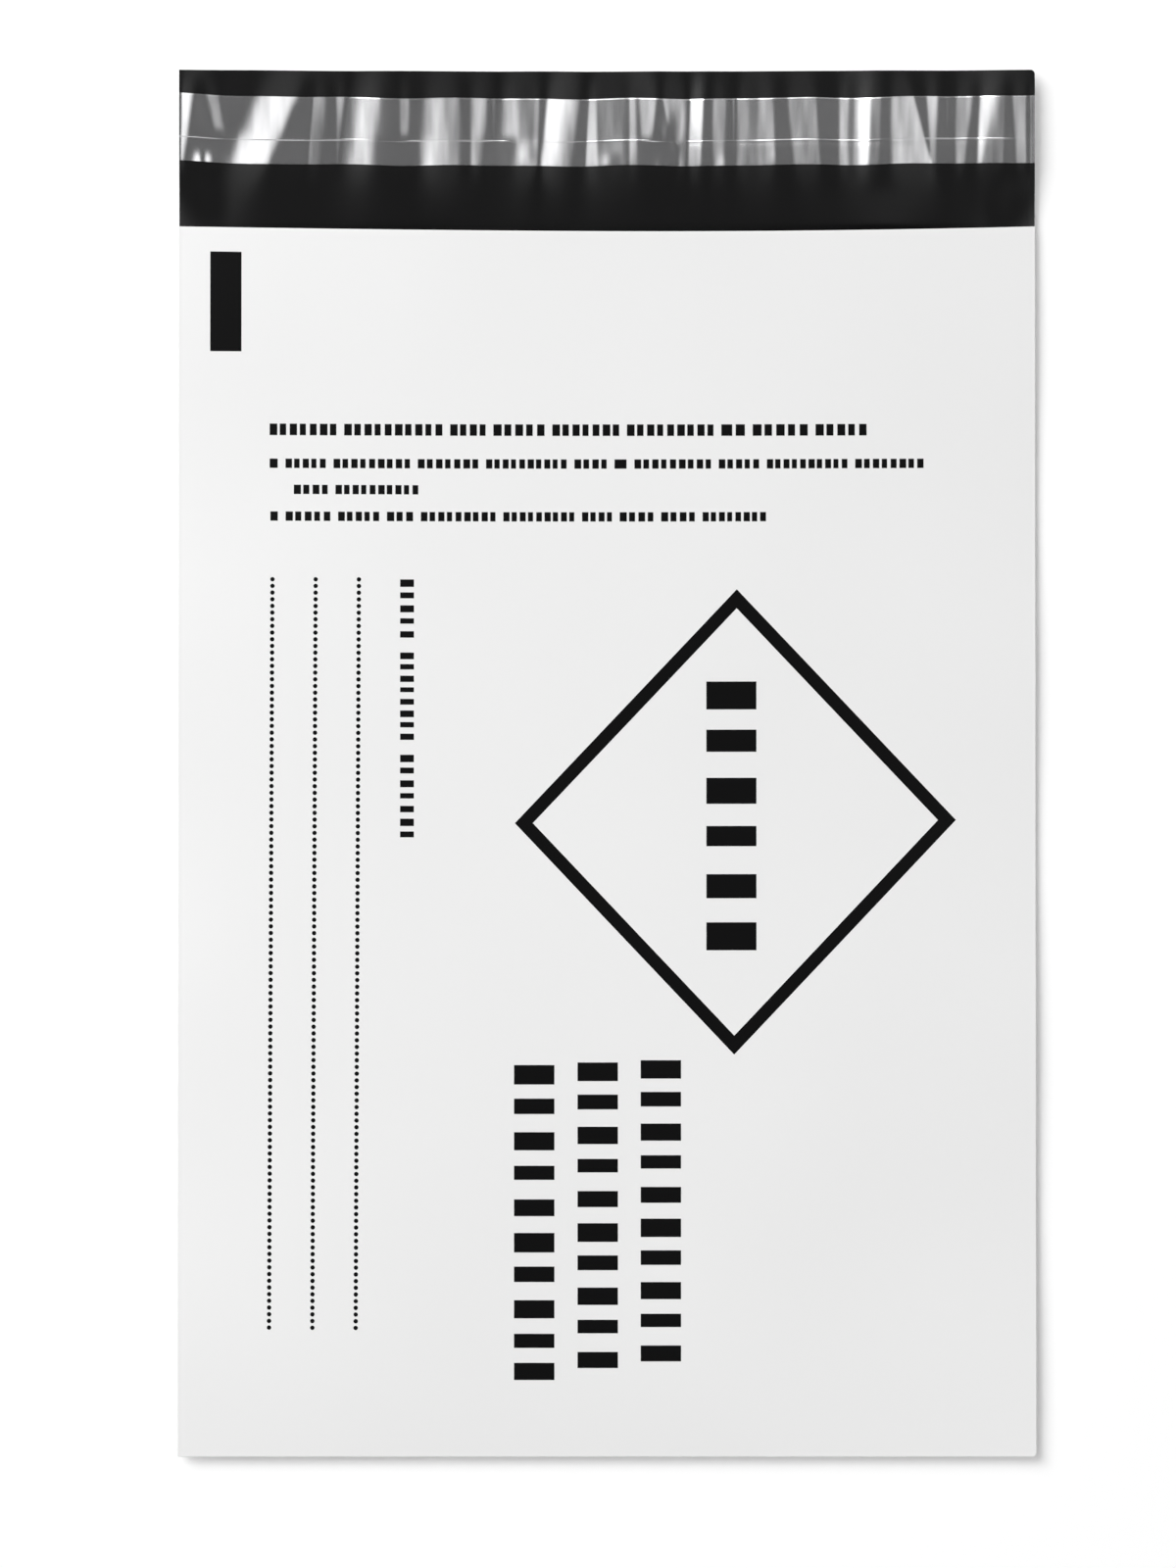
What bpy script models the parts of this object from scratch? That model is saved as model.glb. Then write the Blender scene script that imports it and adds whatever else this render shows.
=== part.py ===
"""Flat specimen transport bag: one folded sheet of two-colour film with welded sides and a long
lip, a band of adhesive on the lip, and the release liner that covers it.

The bag lies on its back panel. +Z is up, +Y runs from the bottom fold to the lip, and the origin is
on the surface below the middle of the bag. Lengths are in metres.
"""

import math

import bmesh
import bpy

# Bag, as bought flat
BAG_WIDTH = 0.230
POCKET_LENGTH = 0.330
LIP_LENGTH = 0.042

# Film, side welds and bottom fold
FILM_THICKNESS = 0.0001
LAYER_SPACING = 0.0002
WELD_RADIUS = 0.0003
WELD_OVERHANG = 0.0001

# Closure on the lip. The liner starts at LINER_MARGIN below the lip's free edge
LINER_MARGIN = 0.0068
LINER_WIDTH = 0.0180
LINER_THICKNESS = 0.0001
ADHESIVE_MARGIN = 0.0010
ADHESIVE_WIDTH = 0.0106
ADHESIVE_THICKNESS = 0.0001
END_CLEARANCE = 0.0006
STACK_CLEARANCE = 0.0001

# How the bag lies: its edges stand a little off the surface and trapped air domes the front panel
EDGE_LIFT = 0.0020
EDGE_WAVE = 0.0004
EDGE_WAVE_LENGTH = 0.095
LIFT_REACH = 0.036
DOME_HEIGHT = 0.0046
DOME_REACH = 0.090
DOME_POWER = 2.5
EDGE_SAG = 0.0008

# Buckles across the lip: middle, half width, height, and lean of the crest as sideways travel for each
# metre towards the free edge
LIP_BUCKLES = (
    (-0.0920, 0.0090, 0.0011, 1.10),
    (-0.0690, 0.0060, 0.0006, 0.35),
    (-0.0530, 0.0065, 0.0009, 0.20),
    (-0.0330, 0.0055, 0.0006, 0.10),
    (-0.0160, 0.0060, 0.0009, 0.45),
    (0.0040, 0.0050, 0.0005, 0.05),
    (0.0230, 0.0060, 0.0010, 0.15),
    (0.0430, 0.0055, 0.0006, -0.10),
    (0.0600, 0.0065, 0.0008, -0.20),
    (0.0780, 0.0060, 0.0010, 0.20),
    (0.0970, 0.0060, 0.0007, 0.25),
)
BUCKLE_START = 0.004
BUCKLE_RISE = 0.013

# Mesh density. The stations are the rows above the fold, close together where the panels bend
COLUMNS = 54
FOLD_STATIONS = (0.0, 0.004, 0.009, 0.015, 0.022, 0.030)
BODY_ROW_PITCH = 0.025
FOLD_STEPS = 4
LIP_ROW_PITCH = 0.0055
WELD_BEVEL_RESOLUTION = 2
ROW_TOLERANCE = 1e-6

# Film colours, outside and inside, and the closure's finishes
WHITE = (0.86, 0.86, 0.855, 1.0)
BLACK = (0.012, 0.012, 0.013, 1.0)
AMBER = (0.55, 0.50, 0.38, 1.0)
SILVER = (0.42, 0.42, 0.43, 1.0)

HALF_WIDTH = BAG_WIDTH / 2
HALF_LENGTH = (POCKET_LENGTH + LIP_LENGTH) / 2
FILM_HALF_WIDTH = HALF_WIDTH - WELD_RADIUS
BOTTOM_Y = -HALF_LENGTH + WELD_OVERHANG
MOUTH_Y = -HALF_LENGTH + POCKET_LENGTH
LIP_EDGE_Y = HALF_LENGTH - WELD_OVERHANG
FOLD_RADIUS = LAYER_SPACING / 2
FOLD_Y = BOTTOM_Y + FOLD_RADIUS + FILM_THICKNESS / 2
LINER_TOP_Y = HALF_LENGTH - LINER_MARGIN
LINER_BOTTOM_Y = LINER_TOP_Y - LINER_WIDTH
ADHESIVE_TOP_Y = LINER_TOP_Y - ADHESIVE_MARGIN
ADHESIVE_BOTTOM_Y = ADHESIVE_TOP_Y - ADHESIVE_WIDTH
ADHESIVE_HEIGHT = FILM_THICKNESS / 2 + STACK_CLEARANCE + ADHESIVE_THICKNESS / 2
LINER_HEIGHT = ADHESIVE_HEIGHT + ADHESIVE_THICKNESS / 2 + STACK_CLEARANCE + LINER_THICKNESS / 2


def smooth_step(share):
    """0 below 0, 1 above 1, and a smooth rise between."""
    share = min(1.0, max(0.0, share))
    return share * share * (3 - 2 * share)


def nearness(distance, reach):
    """1 at an edge, falling to 0 at reach away from it."""
    return max(0.0, 1 - distance / reach) ** 2


def edge_height(y):
    """Height of the film at the side welds above the surface, with its slight wave."""
    return EDGE_LIFT + EDGE_WAVE * math.sin(2 * math.pi * y / EDGE_WAVE_LENGTH)


def back_height(x, y):
    """Middle of the back panel's film: flat on the surface, and rising to the welds and the fold."""
    side = nearness(FILM_HALF_WIDTH - abs(x), LIFT_REACH)
    bottom = nearness(y - FOLD_Y, LIFT_REACH)
    return FILM_THICKNESS / 2 + edge_height(y) * (1 - (1 - side) * (1 - bottom))


def front_height(x, y):
    """Middle of the front panel's film: it leaves the edges one layer up and domes between them."""
    across = 1 - (abs(x) / FILM_HALF_WIDTH) ** DOME_POWER
    along = 1 - nearness(y - FOLD_Y, DOME_REACH)
    return FILM_THICKNESS / 2 + edge_height(y) + LAYER_SPACING + DOME_HEIGHT * across * along


def buckle_height(x, y):
    """The lip's buckles, which start above the mouth and die out at the sides."""
    rise = smooth_step((y - MOUTH_Y - BUCKLE_START) / BUCKLE_RISE)
    side = 1 - nearness(FILM_HALF_WIDTH - abs(x), 2 * BUCKLE_START)
    total = 0.0
    for middle, half_width, height, lean in LIP_BUCKLES:
        offset = x - middle - lean * (y - LINER_BOTTOM_Y)
        total += height * math.exp(-((offset / half_width) ** 2))
    return total * rise * side


def lip_height(x, y):
    """Middle of the film on the lip, above the mouth of the pocket."""
    return back_height(x, y) + buckle_height(x, y)


def sagged(x, y):
    """The mouth, the liner and the lip's edge bow a little towards the bottom in their middles."""
    share = smooth_step((y - FOLD_Y) / (MOUTH_Y - FOLD_Y))
    return y - EDGE_SAG * share * (1 - (x / FILM_HALF_WIDTH) ** 2)


def film_material(name, colour, roughness, metallic=0.0):
    material = bpy.data.materials.new(name)
    material.use_nodes = True
    shader = material.node_tree.nodes["Principled BSDF"]
    shader.inputs["Base Color"].default_value = colour
    shader.inputs["Roughness"].default_value = roughness
    shader.inputs["Metallic"].default_value = metallic
    material.diffuse_color = colour
    return material


def rows_between(low, high, pitch):
    """Evenly spaced values from low to high, both included, no further apart than pitch."""
    steps = max(1, math.ceil((high - low) / pitch - ROW_TOLERANCE))
    return [low + (high - low) * step / steps for step in range(steps + 1)]


def body_rows():
    """Rows of either panel, from the bottom fold to the last one below the mouth."""
    near = [FOLD_Y + station for station in FOLD_STATIONS]
    return near + rows_between(near[-1], MOUTH_Y, BODY_ROW_PITCH)[1:-1]


def lip_rows():
    """Rows of the lip above the mouth. The liner's and the adhesive's edges are rows of the film too."""
    marks = (MOUTH_Y, LINER_BOTTOM_Y, ADHESIVE_BOTTOM_Y, ADHESIVE_TOP_Y, LINER_TOP_Y, LIP_EDGE_Y)
    rows = [MOUTH_Y]
    for low, high in zip(marks, marks[1:]):
        rows += rows_between(low, high, LIP_ROW_PITCH)[1:]
    return rows


def film_rows():
    """The film's path as (y, height function) pairs: from the lip's free edge down the back panel,
    round the bottom fold and up the front panel to the mouth."""
    body = body_rows()
    path = [(y, lip_height) for y in reversed(lip_rows())]
    path += [(y, back_height) for y in reversed(body)]
    for step in range(1, FOLD_STEPS):
        turn = math.pi * step / FOLD_STEPS
        path.append((FOLD_Y - FOLD_RADIUS * math.sin(turn), fold_height(turn)))
    path += [(y, front_height) for y in body + [MOUTH_Y]]
    return path


def fold_height(turn):
    """Height function on the bottom fold, which turn takes from the back panel, 0, to the front, pi."""

    def height(x, y):
        return back_height(x, FOLD_Y) + FOLD_RADIUS * (1 - math.cos(turn))

    return height


def sheet(name, half_width, rows, thickness, materials, collection):
    """A thin sheet: a flat grid whose rows are laid along the path, then thickened."""
    mesh = bpy.data.meshes.new(name)
    shape = bmesh.new()
    bmesh.ops.create_grid(shape, x_segments=COLUMNS, y_segments=len(rows) - 1, size=1)
    bmesh.ops.triangulate(shape, faces=shape.faces, quad_method="FIXED")
    for vertex in shape.verts:
        row = round((vertex.co.y + 1) / 2 * (len(rows) - 1))
        y, height = rows[row]
        x = vertex.co.x * half_width
        vertex.co = (x, sagged(x, y), height(x, y))
    shape.to_mesh(mesh)
    shape.free()
    for material in materials:
        mesh.materials.append(material)
    piece = bpy.data.objects.new(name, mesh)
    collection.objects.link(piece)
    solid = piece.modifiers.new("thickness", "SOLIDIFY")
    solid.thickness = thickness
    solid.offset = 0
    solid.use_even_offset = True
    solid.material_offset = len(materials) - 1
    solid.material_offset_rim = 0
    mesh.shade_smooth()
    return piece


def weld_bead(side, material, collection):
    """The melted bead that closes one side, as a mesh ready to join the film. It has the film's own
    rows, so it holds the edges of both panels all the way along."""
    name = "weld_left" if side < 0 else "weld_right"
    rows = [-HALF_LENGTH] + body_rows() + lip_rows() + [HALF_LENGTH]
    curve = bpy.data.curves.new(name, "CURVE")
    curve.dimensions = "3D"
    curve.bevel_depth = WELD_RADIUS
    curve.bevel_resolution = WELD_BEVEL_RESOLUTION
    curve.use_fill_caps = True
    spline = curve.splines.new("POLY")
    spline.points.add(len(rows) - 1)
    for y, point in zip(rows, spline.points):
        z = FILM_THICKNESS / 2 + edge_height(y) + LAYER_SPACING / 2
        point.co = (side * FILM_HALF_WIDTH, y, z, 1)
    guide = bpy.data.objects.new(name + "_guide", curve)
    collection.objects.link(guide)
    bpy.context.view_layer.update()

    evaluated = guide.evaluated_get(bpy.context.evaluated_depsgraph_get())
    mesh = bpy.data.meshes.new_from_object(evaluated)
    shape = bmesh.new()
    shape.from_mesh(mesh)
    bmesh.ops.remove_doubles(shape, verts=shape.verts, dist=WELD_RADIUS / 100)
    shape.to_mesh(mesh)
    shape.free()
    mesh.materials.clear()
    mesh.materials.append(material)
    bead = bpy.data.objects.new(name, mesh)
    bead.matrix_world = guide.matrix_world
    bead.hide_render = True
    bead.display_type = "WIRE"
    collection.objects.link(bead)
    bpy.data.objects.remove(guide)
    return bead


def build_pouch(parts, helpers):
    """The folded film with its side beads: white outside, black inside."""
    white = film_material("white_film", WHITE, 0.45)
    black = film_material("black_film", BLACK, 0.40)
    pouch = sheet("pouch", FILM_HALF_WIDTH, film_rows(), FILM_THICKNESS, (white, black), parts)
    for side in (-1, 1):
        union = pouch.modifiers.new("side_weld", "BOOLEAN")
        union.operation = "UNION"
        union.object = weld_bead(side, white, helpers)
    return pouch


def raised_rows(marks, rise):
    """Rows of a strip on the lip: the lip's own rows between two marks, raised above the film."""

    def height(x, y):
        return lip_height(x, y) + rise

    low, high = marks[0] - ROW_TOLERANCE, marks[1] + ROW_TOLERANCE
    return [(y, height) for y in reversed(lip_rows()) if low <= y <= high]


def build_adhesive(parts):
    """The band of permanent adhesive under the liner."""
    amber = film_material("adhesive", AMBER, 0.30)
    rows = raised_rows((ADHESIVE_BOTTOM_Y, ADHESIVE_TOP_Y), ADHESIVE_HEIGHT)
    half_width = FILM_HALF_WIDTH - WELD_RADIUS - END_CLEARANCE
    return sheet("adhesive_strip", half_width, rows, ADHESIVE_THICKNESS, (amber,), parts)


def build_liner(parts):
    """The peel-off liner. Its lower part runs on past the adhesive as a dry edge to pull."""
    silver = film_material("release_liner", SILVER, 0.22, 0.6)
    rows = raised_rows((LINER_BOTTOM_Y, LINER_TOP_Y), LINER_HEIGHT)
    half_width = FILM_HALF_WIDTH - WELD_RADIUS - END_CLEARANCE
    return sheet("release_liner", half_width, rows, LINER_THICKNESS, (silver,), parts)


def main():
    for existing in list(bpy.data.objects):
        bpy.data.objects.remove(existing)
    parts = bpy.data.collections.new("specimen_transport_bag")
    helpers = bpy.data.collections.new("weld_shapes")
    bpy.context.scene.collection.children.link(parts)
    bpy.context.scene.collection.children.link(helpers)
    build_pouch(parts, helpers)
    build_adhesive(parts)
    build_liner(parts)


main()
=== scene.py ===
"""Looks of a flat specimen transport bag: the two-colour film pouch with its welded sides, the
wrinkled liner on the lip, the adhesive band under it, and the print on the front panel.

The bag lies on its back panel, +Y runs from the bottom fold to the lip, and lengths are in metres.
"""

import math

import bmesh
import bpy
import numpy as np
from bpy.props import FloatProperty, FloatVectorProperty, IntProperty, PointerProperty
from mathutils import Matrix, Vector


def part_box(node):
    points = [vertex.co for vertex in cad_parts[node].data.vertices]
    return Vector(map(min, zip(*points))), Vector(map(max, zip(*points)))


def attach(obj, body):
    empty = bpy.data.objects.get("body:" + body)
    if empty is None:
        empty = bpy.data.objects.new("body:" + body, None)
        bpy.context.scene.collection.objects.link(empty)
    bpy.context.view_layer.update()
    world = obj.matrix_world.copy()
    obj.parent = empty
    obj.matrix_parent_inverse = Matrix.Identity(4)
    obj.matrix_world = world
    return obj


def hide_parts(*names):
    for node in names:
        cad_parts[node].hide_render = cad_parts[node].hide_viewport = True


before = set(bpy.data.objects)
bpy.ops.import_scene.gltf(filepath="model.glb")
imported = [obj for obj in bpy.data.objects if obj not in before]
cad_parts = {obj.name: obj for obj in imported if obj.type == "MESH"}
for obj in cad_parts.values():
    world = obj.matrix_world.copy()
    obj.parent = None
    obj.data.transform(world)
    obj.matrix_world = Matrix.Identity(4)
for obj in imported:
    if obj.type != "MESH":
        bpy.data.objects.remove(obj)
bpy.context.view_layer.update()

bl_info = {
    "name": "Specimen transport bag",
    "version": (1, 0, 0),
    "blender": (4, 5, 0),
    "location": "View3D > Sidebar > Bag",
    "description": "Builds a flat film mailing bag with its closure, print and studio",
    "category": "Object",
}

MM = 0.001
BODY = "root"

# Bag and film, as the solids have them
HALF_WIDTH, HALF_LENGTH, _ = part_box("pouch")[1]
LINER_LOW, LINER_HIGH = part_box("release_liner")
BAND_LOW, BAND_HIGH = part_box("adhesive_strip")
LIP_LENGTH = 42 * MM
FILM = 0.1 * MM
LAYER_SPACING = 0.2 * MM
WELD_OVERHANG = 0.15 * MM
WELD_RADIUS = 0.13 * MM
MOUTH_Y = HALF_LENGTH - LIP_LENGTH
FILM_HALF = HALF_WIDTH - WELD_OVERHANG
FOLD_RADIUS = LAYER_SPACING / 2
FOLD_Y = -HALF_LENGTH + FOLD_RADIUS + FILM / 2
CORNER_RADIUS = 1.3 * MM

# How finely the pieces are divided, and the angle from which their edges look sharp
COLUMN_PITCH = 1.15 * MM
LIP_PITCH = 0.95 * MM
BACK_PITCH = 8 * MM
FRONT_PITCH = 4 * MM
BAND_PITCH = 1.2 * MM
LINER_PITCH_X = 0.34 * MM
LINER_PITCH_Y = 0.7 * MM
SHARP_ANGLE = math.radians(50)

# How far a film's colour and roughness drift in its broad clouds, as shares, and how deep its grain is
COLOUR_DRIFT = 0.015
ROUGHNESS_DRIFT = 0.08
GRAIN_DEPTH = 0.1 * MM

# How the bag lies. Its mouth and its lip bow towards the bottom in their middles
EDGE_LIFT = 2.5 * MM
EDGE_WAVE = 0.4 * MM
EDGE_WAVE_LENGTH = 95 * MM
BOTTOM_LIFT = 1.0 * MM
BOTTOM_LIFT_START = 20 * MM
BOTTOM_LIFT_REACH = 200 * MM
LIFT_REACH = 36 * MM
DOME_TOP = 6.6 * MM
DOME_REACH = 90 * MM
DOME_POWER = 2.5
EDGE_SAG = 0.7 * MM
FREE_EDGE_RISE = 0.6 * MM
MOUTH_BOW = 0.9 * MM
MOUTH_BOW_REACH = 26 * MM
MOUTH_BOW_LEAN = 0.35

# Pressed line and soft bead along the welds and the fold, and the rolled edge of the mouth
RIM_RISE = 0.02 * MM
RIM_REACH = 0.30 * MM
RIM_GROOVE = 1.0 * MM
ROLL_DROP = 0.20 * MM
ROLL_REACH = 0.6 * MM

# Closure on the lip. The boxes of the liner and the band hold their bow
LINER_TOP = LINER_HIGH[1]
LINER_BOTTOM = LINER_LOW[1] + EDGE_SAG
LINER_WIDTH = LINER_TOP - LINER_BOTTOM
BAND_TOP = BAND_HIGH[1]
BAND_BOTTOM = BAND_LOW[1] + EDGE_SAG
LINER_RAISE = 0.30 * MM
LINER_FILM = 0.05 * MM
BAND_RAISE = 0.15 * MM
BAND_FILM = 0.08 * MM

# The liner's step and crest where it comes down off the adhesive, and its curled cut edges
STEP_RISE = 0.045 * MM
STEP_REACH = 0.08 * MM
CREST_RISE = 0.046 * MM
CREST_REACH = 0.16 * MM
CREST_PLACE = 0.2 * MM
CREST_LEAST = 0.6
CREST_BREAKS = (4.3 * MM, 11 * MM)
CURL_DROP = 0.048 * MM
CURL_REACH = 0.25 * MM

# The liner's turned left end, and the wavers along it: height, length of one radian, and phase
END_TURN = 0.4 * MM
END_TURN_REACH = 13 * MM
WAVERS = (
    (0.14 * MM, 41 * MM / (2 * math.pi), 0.6),
    (0.09 * MM, 3.9 * MM, 0.0),
)

# Facets of the wrinkled lip, in millimetres: left side at the liner's top edge and at its bottom edge,
# right side at those two edges, the film's tilt at them, and how soft the two sides are. A facet whose
# sides cross comes to a rounded end there. A last value, if any, is the share of the way down at which
# the facet fades out
FACETS = (
    (-114.3, -114.6, -110.9, -113.4, -0.155, -0.145, 0.15, 0.90),
    (-107.9, -103.6, -104.0, -100.6, -0.098, -0.098, 0.80, 0.70, 0.55),
    (-94.8, -101.8, -82.8, -90.6, -0.140, -0.138, 2.60, 1.50),
    (-79.1, -80.6, -74.9, -76.8, -0.092, -0.072, 0.20, 1.10),
    (-73.0, -72.8, -70.2, -72.0, -0.102, -0.070, 0.20, 0.45),
    (-68.0, -70.2, -60.6, -62.2, 0.106, 0.102, 2.30, 2.20),
    (-56.0, -55.7, -52.8, -53.2, -0.092, -0.096, 0.60, 0.60, 0.58),
    (-50.0, -50.4, -39.3, -39.0, -0.084, -0.084, 1.30, 0.90),
    (-48.2, -49.2, -43.4, -45.0, -0.020, -0.030, 1.40, 1.50),
    (-36.9, -36.9, -31.6, -33.4, -0.096, -0.106, 0.60, 1.00),
    (-30.9, -30.7, -29.9, -29.9, -0.064, -0.040, 0.30, 0.30),
    (-28.3, -28.7, -24.0, -24.4, 0.088, 0.096, 0.90, 1.00, 0.60),
    (-24.0, -25.4, -18.0, -18.4, 0.057, 0.060, 0.80, 0.30),
    (-19.4, -19.8, -18.0, -18.5, 0.020, 0.012, 0.25, 0.25),
    (-16.2, -18.0, -10.2, -13.2, -0.145, -0.140, 0.75, 1.60),
    (-10.2, -13.2, -7.0, -9.2, -0.078, -0.062, 0.90, 0.70),
    (-5.0, -6.0, -2.7, -2.4, 0.098, 0.094, 0.20, 0.35),
    (-2.5, -2.4, 5.2, 5.2, 0.059, 0.061, 0.50, 0.90),
    (5.9, 5.9, 8.0, 8.3, 0.096, 0.068, 0.15, 0.45),
    (8.4, 9.4, 13.7, 11.4, 0.091, 0.096, 0.35, 0.45, 0.62),
    (14.8, 20.6, 20.6, 18.2, -0.084, -0.070, 0.30, 0.60),
    (20.6, 18.9, 22.0, 21.5, -0.056, -0.074, 0.60, 0.25),
    (22.2, 21.4, 26.1, 25.4, 0.145, 0.088, 0.60, 0.40),
    (28.2, 28.2, 32.2, 31.8, -0.080, -0.068, 0.45, 0.60),
    (33.8, 33.9, 34.4, 34.2, -0.090, -0.060, 0.15, 0.15),
    (34.8, 34.6, 38.0, 37.4, 0.080, 0.080, 0.40, 0.80),
    (38.0, 37.4, 40.6, 40.6, 0.060, 0.064, 0.80, 0.30),
    (40.6, 40.6, 45.0, 45.4, 0.085, 0.084, 0.30, 0.45),
    (48.3, 49.9, 56.5, 57.5, 0.080, 0.079, 0.55, 0.40),
    (62.1, 62.1, 65.0, 64.9, 0.104, 0.096, 0.45, 0.30),
    (65.0, 64.9, 67.0, 66.7, 0.056, 0.057, 0.25, 0.15),
    (67.0, 66.7, 71.0, 70.2, 0.140, 0.136, 0.65, 0.45),
    (71.0, 70.2, 74.0, 73.2, 0.078, 0.072, 0.70, 0.50),
    (76.1, 76.1, 82.6, 87.2, -0.079, -0.078, 0.60, 0.20),
    (85.6, 86.9, 89.0, 88.4, -0.086, -0.066, 0.25, 0.40),
    (91.1, 91.1, 91.7, 91.6, 0.075, 0.055, 0.15, 0.15),
    (93.5, 93.3, 98.6, 96.4, 0.095, 0.094, 0.45, 0.55),
    (99.9, 99.2, 104.8, 101.0, 0.140, 0.138, 0.50, 0.90),
    (104.8, 101.4, 107.2, 106.6, 0.074, 0.073, 0.60, 0.30),
    (108.6, 109.6, 112.7, 112.7, 0.098, 0.097, 0.50, 0.12),
    (113.5, 113.5, 114.0, 114.0, 0.125, 0.120, 0.12, 0.12),
    (114.2, 114.2, 115.0, 115.0, 0.090, 0.085, 0.12, 0.12),
)

# How much softer the facets turn away from the liner, and how far away, as a share of its width. A facet
# that fades out does so over a share of that width, and its rise is then spread out widely
FACET_SPREAD = 2.6 * MM
FACET_SPREAD_REACH = 0.55
FACET_FADE = 0.22
FADED_HALF = 9 * MM
FADED_SOFT = 3 * MM

# Where across the lip the facets' heights start from, and the film's height there
RIDGE_ANCHOR = -38 * MM
RIDGE_BASE = 1.20 * MM

# Where the wrinkles set in, from the mouth: inside the pocket, but above the welds at the two sides
RIDGE_START = -8 * MM
RIDGE_RISE = 26 * MM
SIDE_RIDGE_START = 1 * MM
SIDE_RIDGE_RISE = 17 * MM
SIDE_RIDGE_REACH = 14 * MM

# Fine streaks in the liner: wave length in millimetres, lean, phase, and tilt
STREAKS = (
    (2.3, 0.10, 0.3, 0.0020),
    (3.7, -0.16, 2.2, 0.0030),
    (6.1, 0.22, 4.1, 0.0045),
    (1.4, -0.05, 1.1, 0.0015),
)

# Small dents in the liner, in millimetres: middle x and y, reach along x and y, and height
DENTS = (
    (-108.6, 161.6, 1.9, 2.9, 0.30),
    (16.4, 170.5, 1.5, 5.0, -0.10),
    (14.8, 161.6, 2.0, 2.2, 0.08),
    (29.0, 162.2, 2.4, 1.8, 0.06),
    (46.0, 164.0, 1.5, 2.2, 0.04),
    (-21.0, 164.0, 2.2, 2.6, 0.05),
    (1.0, 162.2, 1.9, 2.2, 0.08),
)

# Broad, faint undulations of the front panel: wave lengths along x and y, phase, and height
UNDULATIONS = (
    (0.150, 0.410, 0.4, 0.00016),
    (-0.093, 0.230, 1.9, 0.00009),
    (0.310, 0.120, 3.1, 0.00010),
    (0.066, -0.170, 5.0, 0.00004),
)

# Solid block printed on the front panel, in millimetres: left, right, bottom, top
BLOCK = (-106.5, -98.1, 110.5, 137.4)

# Rows of blocks across the panel: left, right, middle height, block height, lengths of the groups, and
# the spacing of the blocks. Rows down the panel: middle, top, bottom, block width, lengths, spacing
ROWS_ACROSS = (
    (-90.5, 69.6, 89.6, 3.1, (17, 25, 9, 13, 17, 22, 6, 14, 13), 2.7),
    (-90.5, 84.9, 80.5, 2.5, (2, 10, 19, 15, 20, 8, 3, 19, 10, 20, 17), 2.2),
    (-84.0, -50.6, 73.5, 2.5, (9, 22), 2.2),
    (-90.3, 42.6, 66.3, 2.5, (2, 12, 11, 7, 20, 19, 8, 9, 9, 17), 2.2),
)
GROUP_GAP = 2.1
ROWS_DOWN = (
    (-53.6, 49.4, -19.9, 3.7, (12, 18, 17), 3.0),
    (33.3, 22.0, -50.2, 13.4, (70,), 12.0),
    (14.4, -79.7, -160.4, 10.8, (80,), 8.1),
    (-2.5, -80.3, -162.2, 10.8, (82,), 8.1),
    (-19.5, -81.0, -165.4, 10.8, (66, 4), 8.1),
)
GROUP_GAP_DOWN = 4.0
BLOCK_SHARES = (0.58, 0.46, 0.54, 0.42, 0.50)
THICKER_ACROSS = 0.18

# Outline of a square that stands on its point, in millimetres, and its divisions along and across a side
OUTLINE_MIDDLE = (34.4, -15.7)
OUTLINE_HALF = (59.1, 62.5)
OUTLINE_LINE = 3.5
OUTLINE_LEAN = 0.006
OUTLINE_STEPS = 40
OUTLINE_LAYERS = 3

# Dotted lines: the middle of their grid, above the panel that they drop on, its turn, how far they can
# drop, and the sides of each dot
DOTS_MIDDLE = (-78.5 * MM, -51.2 * MM, 20 * MM)
DOTS_TURN = math.radians(-0.22)
DOTS_DROP = 100 * MM
DOT_SIDES = 14

# Thickness of the ink above and inside the film, and how finely it is divided
INK_TOP = 0.02 * MM
INK_SINK = 0.01 * MM
INK_CELL = 1.5 * MM
DOT_THICKNESS = 5 * INK_TOP


class BagSizes(bpy.types.PropertyGroup):
    """Sizes that a user would change."""

    dot_diameter: FloatProperty(
        name="Dot diameter", description="Diameter of each printed dot", default=1.2 * MM, unit="LENGTH"
    )
    dot_pitch: FloatProperty(
        name="Dot pitch", description="Distance from dot to dot", default=1.79 * MM, unit="LENGTH"
    )
    dots_in_line: IntProperty(name="Dots in a line", description="Number of dots in a line", default=113)
    dotted_lines: IntProperty(name="Dotted lines", description="Number of dotted lines", default=3)
    line_spacing: FloatProperty(
        name="Line spacing", description="Distance between dotted lines", default=11.6 * MM, unit="LENGTH"
    )
    camera_height: FloatProperty(
        name="Camera distance", description="Distance from the camera to the bag", default=3.0, unit="LENGTH"
    )
    view_height: FloatProperty(
        name="View height", description="Length that fills the picture's height", default=0.4205,
        unit="LENGTH",
    )


class BagColours(bpy.types.PropertyGroup):
    """Colours that a user would change."""

    white: FloatVectorProperty(
        name="White film", description="Outer face of the film", subtype="COLOR", size=4,
        default=(0.870, 0.870, 0.868, 1.0),
    )
    black: FloatVectorProperty(
        name="Black film", description="Inner face of the film", subtype="COLOR", size=4,
        default=(0.0034, 0.0034, 0.0036, 1.0),
    )
    ink: FloatVectorProperty(
        name="Ink", description="Print on the front panel", subtype="COLOR", size=4,
        default=(0.0040, 0.0040, 0.0042, 1.0),
    )
    liner: FloatVectorProperty(
        name="Liner", description="Silver-grey release liner", subtype="COLOR", size=4,
        default=(0.64, 0.64, 0.65, 1.0),
    )
    adhesive: FloatVectorProperty(
        name="Adhesive", description="Band of adhesive under the liner", subtype="COLOR", size=4,
        default=(0.55, 0.50, 0.38, 1.0),
    )
    floor: FloatVectorProperty(
        name="Floor", description="Studio floor", subtype="COLOR", size=4, default=(0.97, 0.97, 0.97, 1.0)
    )


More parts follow.
